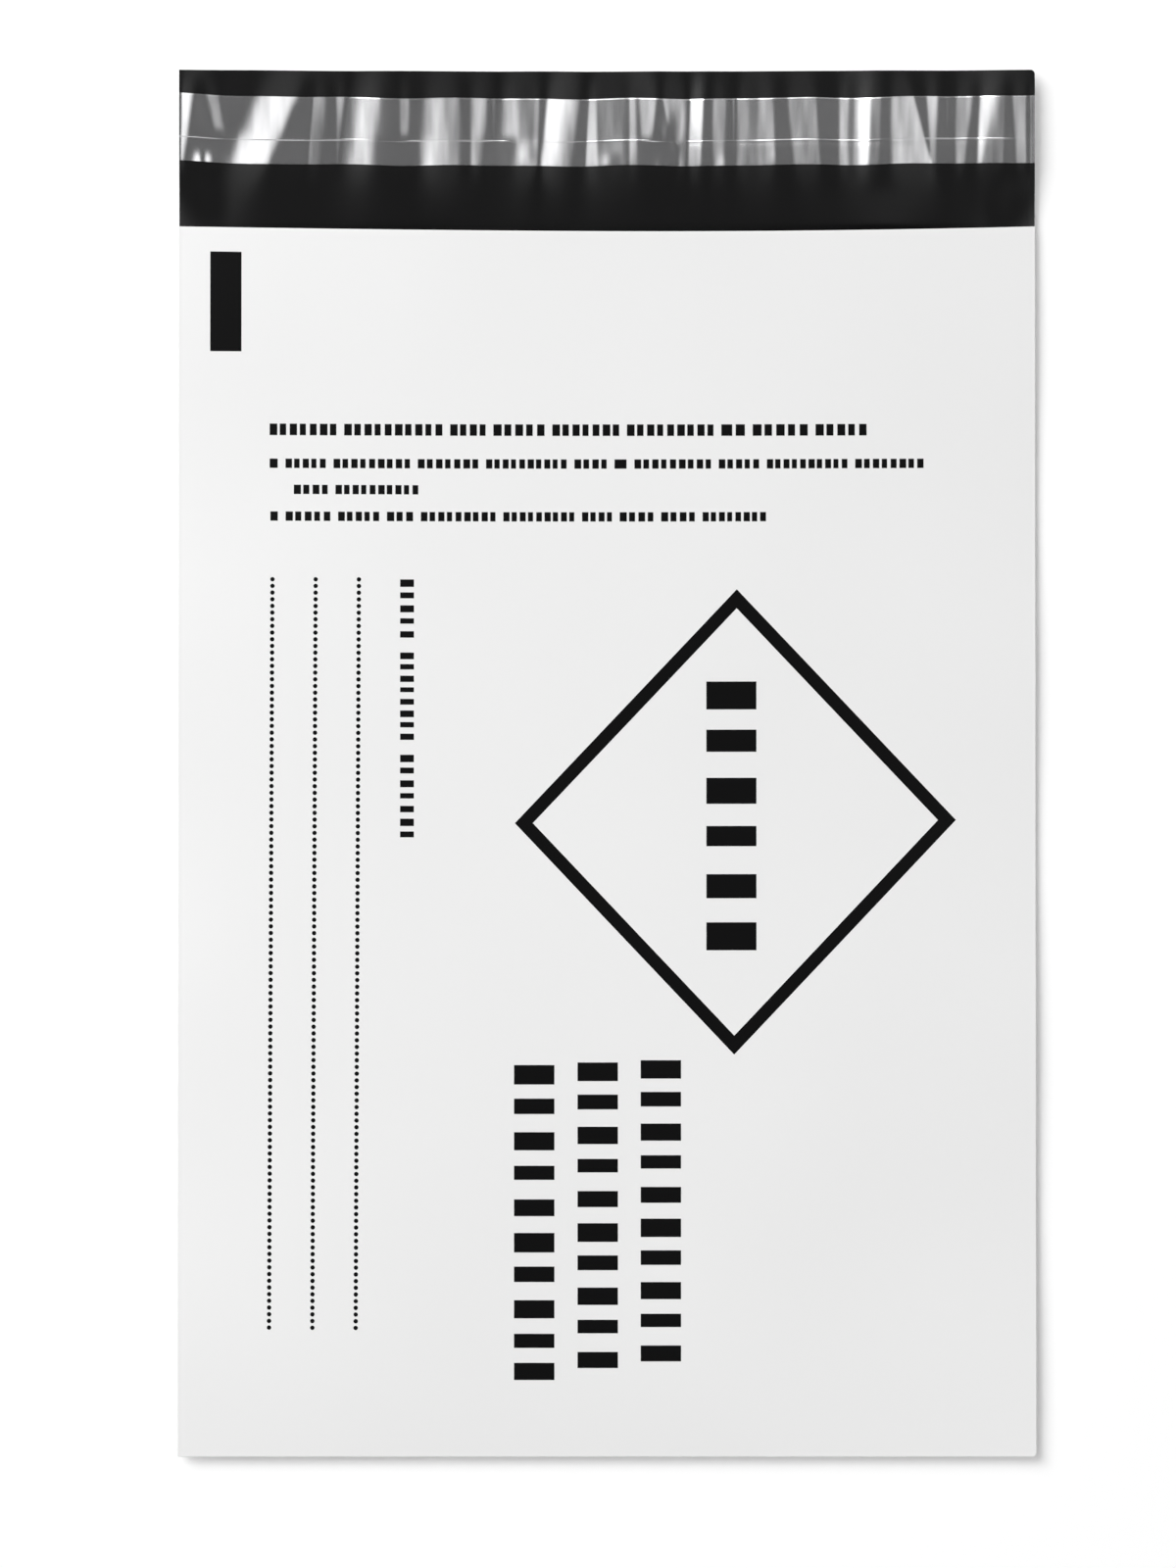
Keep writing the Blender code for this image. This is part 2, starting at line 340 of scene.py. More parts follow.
def smooth_step(share):
    """0 below 0, 1 above 1, and a smooth rise between."""
    share = np.clip(share, 0.0, 1.0)
    return share * share * (3 - 2 * share)


def nearness(distance, reach):
    """1 at an edge, falling to 0 at reach away from it."""
    return np.clip(1 - distance / reach, 0.0, None) ** 2


def log_cosh(value):
    size = np.abs(value)
    return size + np.log1p(np.exp(-2 * size))


def soft_slope(x, low, high, soft_low, soft_high):
    """Rise across a slope of 1 that lies between two places and has soft ends."""
    return (soft_low * log_cosh((x - low) / soft_low) - soft_high * log_cosh((x - high) / soft_high)) / 2


def edge_height(y):
    """Height of the film at the side welds, with its slight wave. It is highest at the bottom fold."""
    wave = EDGE_WAVE * np.sin(2 * math.pi * y / EDGE_WAVE_LENGTH)
    return EDGE_LIFT + wave + BOTTOM_LIFT * smooth_step((BOTTOM_LIFT_START - y) / BOTTOM_LIFT_REACH)


def back_height(x, y):
    """Middle of the back panel's film."""
    side = nearness(FILM_HALF - np.abs(x), LIFT_REACH)
    bottom = nearness(y - FOLD_Y, LIFT_REACH)
    return FILM / 2 + edge_height(y) * (1 - (1 - side) * (1 - bottom))


def rim_height(distance):
    """The pressed line just inside a welded or folded edge, and the soft bead outside it."""
    bead = RIM_RISE * np.exp(-((distance / RIM_REACH) ** 2))
    groove = RIM_RISE * np.exp(-(((distance - RIM_GROOVE) / RIM_REACH) ** 2))
    return bead - groove


def front_height(x, y):
    """Middle of the front panel's film, with its faint undulations and its rolled mouth edge."""
    across = 1 - (np.abs(x) / FILM_HALF) ** DOME_POWER
    along = 1 - nearness(y - FOLD_Y, DOME_REACH)
    inside = across * along
    height = FILM / 2 + LAYER_SPACING + edge_height(y) * (1 - inside) + DOME_TOP * inside
    for length_x, length_y, phase, rise in UNDULATIONS:
        height = height + inside * rise * np.sin(2 * math.pi * (x / length_x + y / length_y) + phase)
    height = height + rim_height(FILM_HALF - np.abs(x)) + rim_height(y - FOLD_Y)
    roll = np.clip((y - (MOUTH_Y - ROLL_REACH)) / ROLL_REACH, 0.0, 1.0)
    return height - ROLL_DROP * roll ** 2


def ridge_height(x, y):
    """Height of the wrinkles across the lip: tilted facets that turn soft away from the liner."""
    down = (LINER_TOP - y) / LINER_WIDTH
    share = np.clip(down, 0.0, 1.0)
    beyond = np.maximum(np.maximum(-down, down - 1), 0.0)
    spread = FACET_SPREAD * smooth_step(beyond / FACET_SPREAD_REACH)
    total = np.zeros_like(x + y)
    for facet in FACETS:
        left_top, left_bottom, right_top, right_bottom, tilt_top, tilt_bottom = facet[:6]
        soft_left, soft_right, *end = facet[6:]
        left = (left_top + (left_bottom - left_top) * down) * MM
        right = (right_top + (right_bottom - right_top) * down) * MM
        middle = (left + right) / 2
        half = np.maximum(right - left, 0.0) / 2
        if right_bottom < left_bottom:
            # The sides cross, and the root rounds the end that they come to
            half = np.sqrt(half * (right_top - left_top) * MM / 2)
        softness = (soft_left * MM + spread, soft_right * MM + spread)
        rise = soft_slope(x, middle - half, middle + half, *softness)
        if end:
            faded = soft_slope(x, middle - FADED_HALF, middle + FADED_HALF, FADED_SOFT, FADED_SOFT)
            kept = smooth_step((end[0] - down) / FACET_FADE + 0.5)
            rise = rise * kept + faded * half / FADED_HALF * (1 - kept)
        total = total + (tilt_top + (tilt_bottom - tilt_top) * share) * rise
    return total


def dent_height(x, y):
    """The liner's own fine streaks and small dents."""
    total = np.zeros_like(x + y)
    for length, lean, phase, tilt in STREAKS:
        turns = 2 * math.pi / (length * MM)
        total = total + tilt / turns * np.sin((x + lean * y) * turns + phase)
    for middle_x, middle_y, reach_x, reach_y, height in DENTS:
        away = ((x - middle_x * MM) / (reach_x * MM)) ** 2 + ((y - middle_y * MM) / (reach_y * MM)) ** 2
        total = total + height * MM * np.exp(-away)
    return total


def ridge_share(x, y):
    """How far the wrinkles have set in, from 0 to 1."""
    middle = smooth_step((y - MOUTH_Y - RIDGE_START) / RIDGE_RISE)
    side = smooth_step((y - MOUTH_Y - SIDE_RIDGE_START) / SIDE_RIDGE_RISE)
    return side + (middle - side) * smooth_step((FILM_HALF - np.abs(x)) / SIDE_RIDGE_REACH)


def lip_height(x, y):
    """Middle of the film on the lip: its facets carry it up from the back panel to its two sides."""
    rise = ridge_share(x, y)
    ridges = ridge_height(x, y) - ridge_height(np.full_like(x, RIDGE_ANCHOR), y)
    return back_height(x, y) * (1 - rise) + (FILM / 2 + RIDGE_BASE + ridges) * rise


def sagged(x, y):
    """The mouth, the liner and the lip's edge bow a little towards the bottom in their middles."""
    share = smooth_step((y - FOLD_Y) / (MOUTH_Y - FOLD_Y))
    free = smooth_step((y - LINER_TOP) / (HALF_LENGTH - LINER_TOP))
    return y - (EDGE_SAG * share - FREE_EDGE_RISE * free) * (1 - (x / FILM_HALF) ** 2)


def front_sagged(x, y):
    """The front panel bows further down at its mouth, a little more on the right."""
    share = smooth_step((y - MOUTH_Y + MOUTH_BOW_REACH) / MOUTH_BOW_REACH)
    across = (1 - (x / FILM_HALF) ** 2) * (1 + MOUTH_BOW_LEAN * x / FILM_HALF)
    return sagged(x, y) - MOUTH_BOW * share * across


def half_width_at(y, side):
    """Half width of the film: the right corners are rounded, the left ones are square."""
    if side < 0:
        return np.full_like(y, FILM_HALF)
    left = np.minimum(HALF_LENGTH - y, y + HALF_LENGTH)
    short = np.clip(CORNER_RADIUS - left, 0.0, CORNER_RADIUS)
    return FILM_HALF - (CORNER_RADIUS - np.sqrt(CORNER_RADIUS ** 2 - short ** 2))


def evenly(low, high, pitch):
    return list(np.linspace(low, high, max(1, math.ceil((high - low) / pitch)) + 1))


def film_columns(pitch):
    """Column places as shares of the half width: close together at the welds."""
    edge = [0.0, 0.25, 0.5, 0.8, 1.1, 1.4, 1.9]
    near = [FILM_HALF - offset * MM for offset in edge]
    inner = evenly(0.0, near[-1], pitch)[:-1]
    half = inner + near[::-1]
    return np.array([-x for x in half[:0:-1]] + half) / FILM_HALF


def grid_mesh(name, columns, rows):
    """A grid of quads whose points are given row by row as an array of rows x columns x 3."""
    shape = bmesh.new()
    bmesh.ops.create_grid(shape, x_segments=columns - 1, y_segments=len(rows) - 1, size=1)
    mesh = bpy.data.meshes.new(name)
    shape.to_mesh(mesh)
    shape.free()
    mesh.vertices.foreach_set("co", np.asarray(rows, np.float32).reshape(-1))
    mesh.update()
    return mesh


def plain(piece):
    """The piece with its modifiers turned into plain mesh."""
    evaluated = piece.evaluated_get(bpy.context.evaluated_depsgraph_get())
    mesh = bpy.data.meshes.new_from_object(evaluated)
    piece.modifiers.clear()
    piece.data = mesh
    return piece


def new_piece(name, mesh, materials):
    for material in materials:
        mesh.materials.append(material)
    piece = bpy.data.objects.new(name, mesh)
    bpy.context.scene.collection.objects.link(piece)
    return piece


def thickened(piece, thickness, material_offset=0):
    solid = piece.modifiers.new("thickness", "SOLIDIFY")
    solid.thickness = thickness
    solid.offset = 0
    solid.material_offset = material_offset
    bpy.context.view_layer.update()
    plain(piece)
    piece.data.shade_smooth()
    piece.data.set_sharp_from_angle(angle=SHARP_ANGLE)
    return piece


def finished(piece, slot, *nodes):
    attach(piece, BODY)
    if nodes:
        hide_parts(*nodes)
    return piece


def film_texture():
    """Node group: fine grain and broad clouds of extruded film, on object coordinates."""
    name = "Film texture"
    if name in bpy.data.node_groups:
        return bpy.data.node_groups[name]
    tree = bpy.data.node_groups.new(name, "ShaderNodeTree")
    tree.interface.new_socket("Grain scale", in_out="INPUT", socket_type="NodeSocketFloat")
    tree.interface.new_socket("Cloud scale", in_out="INPUT", socket_type="NodeSocketFloat")
    tree.interface.new_socket("Stretch", in_out="INPUT", socket_type="NodeSocketVector")
    tree.interface.new_socket("Grain", in_out="OUTPUT", socket_type="NodeSocketFloat")
    tree.interface.new_socket("Cloud", in_out="OUTPUT", socket_type="NodeSocketFloat")
    nodes, links = tree.nodes, tree.links
    inputs = nodes.new("NodeGroupInput")
    outputs = nodes.new("NodeGroupOutput")
    coordinates = nodes.new("ShaderNodeTexCoord")
    stretch = nodes.new("ShaderNodeVectorMath")
    stretch.operation = "MULTIPLY"
    grain = nodes.new("ShaderNodeTexNoise")
    grain.inputs["Detail"].default_value = 3
    cloud = nodes.new("ShaderNodeTexNoise")
    cloud.inputs["Detail"].default_value = 2
    links.new(coordinates.outputs["Object"], stretch.inputs[0])
    links.new(inputs.outputs["Stretch"], stretch.inputs[1])
    links.new(stretch.outputs["Vector"], grain.inputs["Vector"])
    links.new(inputs.outputs["Grain scale"], grain.inputs["Scale"])
    links.new(coordinates.outputs["Object"], cloud.inputs["Vector"])
    links.new(inputs.outputs["Cloud scale"], cloud.inputs["Scale"])
    links.new(grain.outputs["Fac"], outputs.inputs["Grain"])
    links.new(cloud.outputs["Fac"], outputs.inputs["Cloud"])
    return tree


def film_finish(name, colour, roughness, grain=(900, 14, (1, 1, 1)), bump=0.02, metallic=0.0, specular=0.5):
    """A film's material: colour and roughness drift in broad clouds, and a fine grain is in its bump.

    The grain is given by its scale, the scale of the clouds, and its stretch.
    """
    material = bpy.data.materials.new(name)
    material.use_nodes = True
    nodes, links = material.node_tree.nodes, material.node_tree.links
    shader = nodes["Principled BSDF"]
    shader.inputs["Metallic"].default_value = metallic
    shader.inputs["Specular IOR Level"].default_value = specular
    texture = nodes.new("ShaderNodeGroup")
    texture.node_tree = film_texture()
    texture.inputs["Grain scale"].default_value = grain[0]
    texture.inputs["Cloud scale"].default_value = grain[1]
    texture.inputs["Stretch"].default_value = grain[2]
    shade = nodes.new("ShaderNodeMix")
    shade.data_type = "RGBA"
    shade.inputs["A"].default_value = [part * (1 - COLOUR_DRIFT) for part in colour[:3]] + [1]
    shade.inputs["B"].default_value = [part * (1 + COLOUR_DRIFT) for part in colour[:3]] + [1]
    gloss = nodes.new("ShaderNodeMapRange")
    gloss.inputs["To Min"].default_value = roughness * (1 - ROUGHNESS_DRIFT)
    gloss.inputs["To Max"].default_value = roughness * (1 + ROUGHNESS_DRIFT)
    relief = nodes.new("ShaderNodeBump")
    relief.inputs["Strength"].default_value = bump
    relief.inputs["Distance"].default_value = GRAIN_DEPTH
    links.new(texture.outputs["Cloud"], shade.inputs["Factor"])
    links.new(texture.outputs["Cloud"], gloss.inputs["Value"])
    links.new(texture.outputs["Grain"], relief.inputs["Height"])
    links.new(shade.outputs["Result"], shader.inputs["Base Color"])
    links.new(gloss.outputs["Result"], shader.inputs["Roughness"])
    links.new(relief.outputs["Normal"], shader.inputs["Normal"])
    return material


def lip_rows():
    """Rows from where the wrinkles set in to the lip's free edge."""
    return evenly(MOUTH_Y + RIDGE_START, HALF_LENGTH - 2 * CORNER_RADIUS, LIP_PITCH) + [
        HALF_LENGTH - step * CORNER_RADIUS for step in (1.5, 1.0, 0.75, 0.5, 0.3, 0.15, 0.04)
    ]


def panel_rows(pitch):
    """Rows of a panel from the fold to just below the mouth."""
    near = [FOLD_Y + step * MM for step in (0, 0.2, 0.5, 0.8, 1.1, 1.4, 1.9, 3, 6, 10)]
    top = [MOUTH_Y - step * MM for step in (1.0, 0.8, 0.6, 0.4, 0.2)]
    return near + evenly(near[-1], top[0], pitch)[1:-1] + top


def placed(rows, columns):
    """Points of a sheet: rows of (y, height function) laid across the columns."""
    points = []
    for y, height in rows:
        ys = np.full_like(columns, y)
        width = np.where(columns > 0, half_width_at(ys, 1), half_width_at(ys, -1))
        x = columns * width
        lay = front_sagged if height is front_height else sagged
        points.append(np.stack([x, lay(x, ys), height(x, ys)], axis=1))
    return points


def fold_rows():
    """Rows round the bottom fold, from the back panel's film to the front panel's."""

    def at(turn):
        return lambda x, y: back_height(x, np.full_like(x, FOLD_Y)) + FOLD_RADIUS * (1 - math.cos(turn))

    turns = [math.pi * step / 6 for step in range(1, 6)]
    return [(FOLD_Y - FOLD_RADIUS * math.sin(turn), at(turn)) for turn in turns]


class BAG_OT_pouch(bpy.types.Operator):
    """Folded film pouch, white outside and black inside, with its welded sides"""

    bl_idname = "bag.pouch"
    bl_label = "Film pouch"

    def execute(self, context):
        colours = context.scene.bag_colours
        white = film_finish("white_film", colours.white, roughness=0.42, bump=0.05)
        black = film_finish("black_film", colours.black, roughness=0.24, bump=0.04, specular=0.31)
        columns = film_columns(COLUMN_PITCH)
        path = [(y, lip_height) for y in reversed(lip_rows())]
        back_end = MOUTH_Y + RIDGE_START - 2 * MM
        path += [(y, back_height) for y in reversed(panel_rows(BACK_PITCH)) if y < back_end]
        path += fold_rows()
        path += [(y, front_height) for y in panel_rows(FRONT_PITCH) + [MOUTH_Y]]
        mesh = grid_mesh("pouch_film", len(columns), placed(path, columns))
        pouch = new_piece("pouch_film", mesh, (white, black))
        thickened(pouch, FILM, material_offset=1)
        finished(pouch, "white_film", "pouch")
        return {"FINISHED"}


def weld_mesh(name, side):
    """A melted bead along one side of the film, from the fold to the mouth, as one closed mesh."""
    rows = np.array([-HALF_LENGTH + WELD_OVERHANG] + panel_rows(FRONT_PITCH) + [MOUTH_Y])
    curve = bpy.data.curves.new(name, "CURVE")
    curve.dimensions = "3D"
    curve.bevel_depth = WELD_RADIUS
    curve.bevel_resolution = 2
    curve.use_fill_caps = True
    spline = curve.splines.new("POLY")
    spline.points.add(len(rows) - 1)
    height = FILM / 2 + edge_height(rows) + LAYER_SPACING / 2
    x = side * half_width_at(rows, side)
    for point, place in zip(spline.points, zip(x, rows, height)):
        point.co = (*place, 1)
    bead = bpy.data.objects.new(name, curve)
    bpy.context.scene.collection.objects.link(bead)
    bpy.context.view_layer.update()
    mesh = bpy.data.meshes.new_from_object(bead.evaluated_get(bpy.context.evaluated_depsgraph_get()))
    bpy.data.objects.remove(bead)
    shape = bmesh.new()
    shape.from_mesh(mesh)
    bmesh.ops.remove_doubles(shape, verts=shape.verts, dist=0.001 * MM)
    bmesh.ops.recalc_face_normals(shape, faces=shape.faces)
    shape.to_mesh(mesh)
    shape.free()
    mesh.materials.clear()
    mesh.shade_smooth()
    return mesh


class BAG_OT_welds(bpy.types.Operator):
    """Melted beads that close the two sides of the pocket"""

    bl_idname = "bag.welds"
    bl_label = "Side welds"

    def execute(self, context):
        white = bpy.data.materials["white_film"]
        for side, name in ((-1, "side_weld_left"), (1, "side_weld_right")):
            finished(new_piece(name, weld_mesh(name, side), (white,)), "white_film")
        return {"FINISHED"}


def strip_points(low, high, pitch_x, pitch_y, height, marks=()):
    """Columns and points of a strip across the lip, from low to high, with extra rows at the marks."""
    rows = sorted(set(evenly(low, high, pitch_y)) | set(marks))
    columns = np.array(evenly(-FILM_HALF, FILM_HALF, pitch_x))
    points = []
    for y in rows:
        ys = np.full_like(columns, y)
        shifted = sagged(columns, ys) + liner_shift(columns)
        points.append(np.stack([columns, shifted, height(columns, ys)], axis=1))
    return len(columns), points


def liner_shift(x):
    """The liner lies a little crooked: its left end turns up, and its edges waver."""
    shift = END_TURN * np.exp(-(((x + HALF_WIDTH) / END_TURN_REACH) ** 2))
    for height, radian, phase in WAVERS:
        shift = shift + height * np.sin(x / radian + phase)
    return shift


def band_height(x, y):
    return lip_height(x, y) + BAND_RAISE


def crest_share(x):
    """How high the crest over the adhesive's edge stands: it is broken up into uneven lengths."""
    short, long = CREST_BREAKS
    breaks = 0.6 + 0.9 * np.sin(x / short) * np.sin(x / long + 0.7)
    return CREST_LEAST + (1 - CREST_LEAST) * smooth_step(breaks)


def liner_height(x, y):
    """The liner lies on the adhesive, steps down at its lower edge, and its own cut edges curl."""
    step = STEP_RISE / (1 + np.exp(-(y - BAND_BOTTOM) / STEP_REACH))
    crest_line = np.exp(-(((y - BAND_BOTTOM - CREST_PLACE) / CREST_REACH) ** 2))
    crest = CREST_RISE * crest_share(x) * crest_line
    edge = np.minimum(LINER_TOP - y, y - LINER_BOTTOM)
    curl = CURL_DROP * np.exp(-((edge / CURL_REACH) ** 2))
    return lip_height(x, y) + LINER_RAISE + step + crest - curl + dent_height(x, y)


class BAG_OT_adhesive(bpy.types.Operator):
    """Band of adhesive under the liner"""

    bl_idname = "bag.adhesive"
    bl_label = "Adhesive band"

    def execute(self, context):
        colour = context.scene.bag_colours.adhesive
        amber = film_finish("adhesive", colour, roughness=0.30, grain=(400, 40, (1, 1, 1)), bump=0.2)
        count, points = strip_points(BAND_BOTTOM, BAND_TOP, BAND_PITCH, BAND_PITCH, band_height)
        band = new_piece("adhesive_band", grid_mesh("adhesive_band", count, points), (amber,))
        thickened(band, BAND_FILM)
        finished(band, "adhesive", "adhesive_strip")
        return {"FINISHED"}


class BAG_OT_liner(bpy.types.Operator):
    """Wrinkled release liner over the adhesive"""

    bl_idname = "bag.liner"
    bl_label = "Release liner"

    def execute(self, context):
        colour = context.scene.bag_colours.liner
        silver = film_finish(
            "release_liner", colour, roughness=0.15, grain=(700, 60, (0.12, 1.0, 1.0)), bump=0.06,
            metallic=0.9,
        )
        marks = [BAND_BOTTOM + step * 0.1 * MM for step in range(-4, 8)]
        for step in (0.12, 0.25, 0.4, 0.6):
            marks += [LINER_TOP - step * MM, LINER_BOTTOM + step * MM]
        count, points = strip_points(
            LINER_BOTTOM, LINER_TOP, LINER_PITCH_X, LINER_PITCH_Y, liner_height, marks
        )
        liner = new_piece("liner_film", grid_mesh("liner_film", count, points), (silver,))
        thickened(liner, LINER_FILM)
        finished(liner, "release_liner", "release_liner")
        return {"FINISHED"}


def ink_bar(shape, left, right, bottom, top):
    """Adds one printed bar to the bmesh: a flat grid that is laid on the film later."""
    across = max(1, math.ceil((right - left) / INK_CELL))
    along = max(1, math.ceil((top - bottom) / INK_CELL))
    made = bmesh.ops.create_grid(shape, x_segments=across, y_segments=along, size=0.5)
    for vertex in made["verts"]:
        vertex.co.x = left + (right - left) * (vertex.co.x + 0.5)
        vertex.co.y = bottom + (top - bottom) * (vertex.co.y + 0.5)


def ink_blocks(length, lengths, gap, spacing, thicker=0.0):
    """Starts and ends of the blocks in a row: groups with gaps between them, each split into blocks."""
    scale = (length - gap * (len(lengths) - 1)) / sum(lengths)
    start, blocks = 0.0, []
    for group in lengths:
        count = max(1, round(group * scale / spacing))
        shares = [BLOCK_SHARES[index % len(BLOCK_SHARES)] + thicker for index in range(count)]
        pitch = group * scale / (count - 1 + shares[-1])
        for index, share in enumerate(shares):
            blocks.append((start + pitch * index, start + pitch * (index + share)))
        start += group * scale + gap
    return blocks


def lay_ink(name, shape, material):
    """Lays flat printed shapes on the front panel and gives them the ink's thickness."""
    places = np.array([vertex.co[:2] for vertex in shape.verts])
    ys = front_sagged(places[:, 0], places[:, 1])
    heights = front_height(places[:, 0], places[:, 1]) + FILM / 2 + (INK_TOP - INK_SINK) / 2
    for vertex, y, height in zip(shape.verts, ys, heights):
        vertex.co.y = y
        vertex.co.z = height
    mesh = bpy.data.meshes.new(name)
    shape.to_mesh(mesh)
    shape.free()
    piece = new_piece(name, mesh, (material,))
    thickened(piece, INK_TOP + INK_SINK)
    return finished(piece, "ink")


def block_shape():
    """The solid block."""
    shape = bmesh.new()
    ink_bar(shape, *[value * MM for value in BLOCK])
    return shape


def rows_across_shape():
    """The rows of plain blocks that run across the panel."""
    shape = bmesh.new()
    for left, right, middle, height, lengths, spacing in ROWS_ACROSS:
        for start, end in ink_blocks(right - left, lengths, GROUP_GAP, spacing, THICKER_ACROSS):
            bar = (left + start, left + end, middle - height / 2, middle + height / 2)
            ink_bar(shape, *[value * MM for value in bar])
    return shape


def rows_down_shape():
    """The rows of plain blocks that run down the panel."""
    shape = bmesh.new()
    for middle, top, bottom, width, lengths, spacing in ROWS_DOWN:
        for start, end in ink_blocks(top - bottom, lengths, GROUP_GAP_DOWN, spacing):
            bar = (middle - width / 2, middle + width / 2, top - end, top - start)
            ink_bar(shape, *[value * MM for value in bar])
    return shape


def outline_ring(reach_x, reach_y):
    """Places round the square on its point, which leans a little and reaches this far to its corners."""
    corners = ((1, 0), (0, 1), (-1, 0), (0, -1))
    ring = []
    for corner, after in zip(corners, corners[1:] + corners[:1]):
        for step in range(OUTLINE_STEPS):
            part = step / OUTLINE_STEPS
            x = reach_x * (corner[0] + (after[0] - corner[0]) * part)
            y = reach_y * (corner[1] + (after[1] - corner[1]) * part)
            leant_x = OUTLINE_MIDDLE[0] + x + OUTLINE_LEAN * y
            leant_y = OUTLINE_MIDDLE[1] + y + OUTLINE_LEAN * x
            ring.append((leant_x * MM, leant_y * MM, 0))
    return ring


def outline_shape():
    """The square-on-point outline: rings from its inner edge to its outer one, joined by faces."""
    shape = bmesh.new()
    half_x, half_y = OUTLINE_HALF
    inset = OUTLINE_LINE * math.hypot(half_x, half_y)
    inner_x, inner_y = half_x - inset / half_y, half_y - inset / half_x
    rings = []
    for layer in range(OUTLINE_LAYERS + 1):
        share = layer / OUTLINE_LAYERS
        reach_x = inner_x + (half_x - inner_x) * share
        reach_y = inner_y + (half_y - inner_y) * share
        rings.append([shape.verts.new(place) for place in outline_ring(reach_x, reach_y)])
    for inner, outer in zip(rings, rings[1:]):
        for index in range(len(inner)):
            after = (index + 1) % len(inner)
            shape.faces.new((inner[index], outer[index], outer[after], inner[after]))
    return shape


class BAG_OT_print(bpy.types.Operator):
    """The solid block, rows of plain blocks and the square-on-point outline"""

    bl_idname = "bag.print"
    bl_label = "Print"

    def execute(self, context):
        ink = film_finish("ink", context.scene.bag_colours.ink, roughness=0.35, bump=0.03, specular=0.05)
        lay_ink("printed_block", block_shape(), ink)
        lay_ink("printed_rows_across", rows_across_shape(), ink)
        lay_ink("printed_rows_down", rows_down_shape(), ink)
        lay_ink("printed_outline", outline_shape(), ink)
        return {"FINISHED"}


def dot_tree(material):
    """Geometry nodes: a grid of dots dropped on the film."""
    tree = bpy.data.node_groups.new("Dotted lines", "GeometryNodeTree")
    face = tree.interface
    face.new_socket("Film", in_out="INPUT", socket_type="NodeSocketObject")
    for name in ("Lines", "Dots"):
        face.new_socket(name, in_out="INPUT", socket_type="NodeSocketInt")
    for name in ("Line spacing", "Pitch", "Diameter", "Thickness"):
        face.new_socket(name, in_out="INPUT", socket_type="NodeSocketFloat")
    for name in ("Middle", "Turn"):
        face.new_socket(name, in_out="INPUT", socket_type="NodeSocketVector")
    face.new_socket("Geometry", in_out="OUTPUT", socket_type="NodeSocketGeometry")
    nodes, links = tree.nodes, tree.links
    inputs = nodes.new("NodeGroupInput")
    outputs = nodes.new("NodeGroupOutput")

    def span(count, spacing):
        less = nodes.new("ShaderNodeMath")
        less.operation = "SUBTRACT"
        less.inputs[1].default_value = 1
        links.new(inputs.outputs[count], less.inputs[0])
        times = nodes.new("ShaderNodeMath")
        times.operation = "MULTIPLY"
        links.new(less.outputs[0], times.inputs[0])
        links.new(inputs.outputs[spacing], times.inputs[1])
        return times.outputs[0]

    grid = nodes.new("GeometryNodeMeshGrid")
    links.new(span("Lines", "Line spacing"), grid.inputs["Size X"])
    links.new(span("Dots", "Pitch"), grid.inputs["Size Y"])
    links.new(inputs.outputs["Lines"], grid.inputs["Vertices X"])
    links.new(inputs.outputs["Dots"], grid.inputs["Vertices Y"])
    move = nodes.new("GeometryNodeTransform")
    links.new(grid.outputs["Mesh"], move.inputs["Geometry"])
    links.new(inputs.outputs["Middle"], move.inputs["Translation"])
    turn = nodes.new("FunctionNodeEulerToRotation")
    links.new(inputs.outputs["Turn"], turn.inputs[0])
    links.new(turn.outputs[0], move.inputs["Rotation"])

    film = nodes.new("GeometryNodeObjectInfo")
    links.new(inputs.outputs["Film"], film.inputs["Object"])
    drop = nodes.new("GeometryNodeRaycast")
    drop.data_type = "FLOAT_VECTOR"
    drop.inputs["Ray Direction"].default_value = (0, 0, -1)
    drop.inputs["Ray Length"].default_value = DOTS_DROP
    links.new(film.outputs["Geometry"], drop.inputs["Target Geometry"])
    settle = nodes.new("GeometryNodeSetPosition")
    links.new(move.outputs["Geometry"], settle.inputs["Geometry"])
    links.new(drop.outputs["Hit Position"], settle.inputs["Position"])

    radius = nodes.new("ShaderNodeMath")
    radius.operation = "DIVIDE"
    radius.inputs[1].default_value = 2
    links.new(inputs.outputs["Diameter"], radius.inputs[0])
    dot = nodes.new("GeometryNodeMeshCylinder")
    dot.inputs["Vertices"].default_value = DOT_SIDES
    links.new(radius.outputs[0], dot.inputs["Radius"])
    links.new(inputs.outputs["Thickness"], dot.inputs["Depth"])
    place = nodes.new("GeometryNodeInstanceOnPoints")
    links.new(settle.outputs["Geometry"], place.inputs["Points"])
    links.new(dot.outputs["Mesh"], place.inputs["Instance"])
    real = nodes.new("GeometryNodeRealizeInstances")
    links.new(place.outputs["Instances"], real.inputs["Geometry"])
    paint = nodes.new("GeometryNodeSetMaterial")
    paint.inputs["Material"].default_value = material
    links.new(real.outputs["Geometry"], paint.inputs["Geometry"])
    links.new(paint.outputs["Geometry"], outputs.inputs["Geometry"])
    return tree


